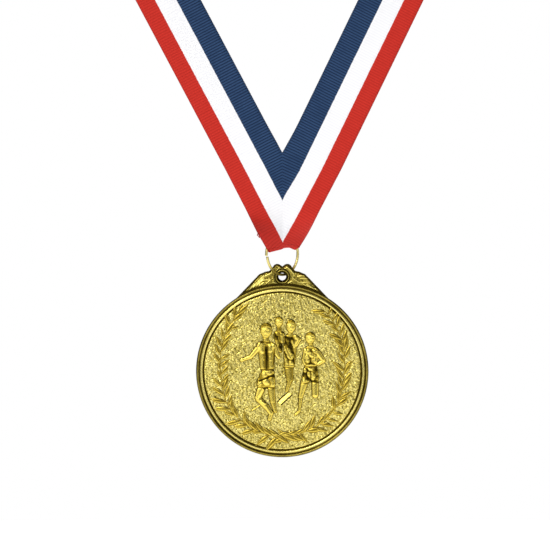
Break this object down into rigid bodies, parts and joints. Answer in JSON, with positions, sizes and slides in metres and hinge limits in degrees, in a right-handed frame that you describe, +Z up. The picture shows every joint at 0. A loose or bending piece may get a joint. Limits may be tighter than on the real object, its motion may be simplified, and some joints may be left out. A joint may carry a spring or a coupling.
{
  "type": "medal",
  "caption": "Gold-tone running medal with a laurel wreath, on a jump ring and a red, white and blue grosgrain neck ribbon",
  "frame": {"origin": "The middle of the nape band's inner face, where the ribbon rests on the back of a neck.", "axes": "+Z up, along the hang of the medal; -Y forward, the way the medal's face looks; +X to the right of a viewer in front of it."},
  "size_m": [0.2134, 0.1076, 0.296],
  "materials": {
    "antique_gold": "die-cast, gold plated, darkened in the hollows",
    "pale_gold_wire": "bright plated wire",
    "striped_grosgrain": "ribbed ribbon in red, white and blue stripes",
    "sewing_thread": "twisted polyester thread"
  },
  "bodies": {
    "ribbon": {"ribbon_right_arm": "striped_grosgrain", "ribbon_left_arm": "striped_grosgrain", "ribbon_right_shoulder": "striped_grosgrain", "ribbon_left_shoulder": "striped_grosgrain", "ribbon_nape": "striped_grosgrain", "ribbon_ring_tab": "striped_grosgrain", "mitre_stitches": "sewing_thread", "tab_stitches": "sewing_thread"},
    "ring": {"jump_ring": "pale_gold_wire"},
    "medal": {"medal_disc": "antique_gold", "crest_plate": "antique_gold", "crest_leaves": "antique_gold", "eye_collar": "antique_gold", "laurel_right": "antique_gold", "laurel_left": "antique_gold", "runner_front": "antique_gold", "runner_second": "antique_gold", "runner_third": "antique_gold", "runner_fourth": "antique_gold", "lane_marks": "antique_gold"}
  },
  "joints": [
    {"name": "ring_swing", "type": "hinge", "parent": "ribbon", "child": "ring", "pos_m": [0, -0.09679, -0.19854], "axis": [1, 0, 0], "range_deg": [-60, 60], "deforming": ["ribbon_ring_tab"]},
    {"name": "medal_swing", "type": "hinge", "parent": "ring", "child": "medal", "pos_m": [0, -0.09679, -0.21654], "axis": [0.7314, 0.682, 0], "range_deg": [-45, 35]}
  ]
}
